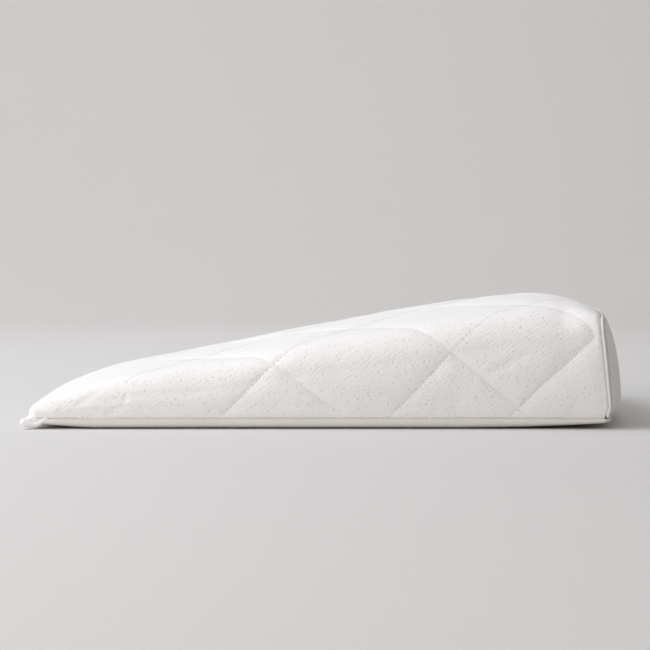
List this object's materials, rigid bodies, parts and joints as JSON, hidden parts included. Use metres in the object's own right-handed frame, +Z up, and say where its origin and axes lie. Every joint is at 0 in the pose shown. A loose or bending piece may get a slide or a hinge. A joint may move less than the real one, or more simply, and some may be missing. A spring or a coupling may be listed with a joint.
{
  "type": "wedge pillow",
  "caption": "Wedge pillow: a foam wedge in a quilted knit cover, with a plain base and a welted plain end panel.",
  "frame": {"origin": "middle of the pillow's box, on the surface that it lies on", "axes": "+X along the pillow from the thin end to the thick end, +Y across it away from the side the picture shows, +Z up"},
  "size_m": [0.64, 0.4104, 0.1345],
  "materials": {
    "quilted_knit": "white double-knit jacquard with a small raised cell, matt",
    "plain_knit": "white plain fine knit, matt",
    "welt_knit": "white plain knit folded over a cord, matt"
  },
  "bodies": {
    "root": {"quilted_cover": "quilted_knit", "base_panel": "plain_knit", "end_panel": "plain_knit", "end_welt": "welt_knit"}
  },
  "joints": []
}
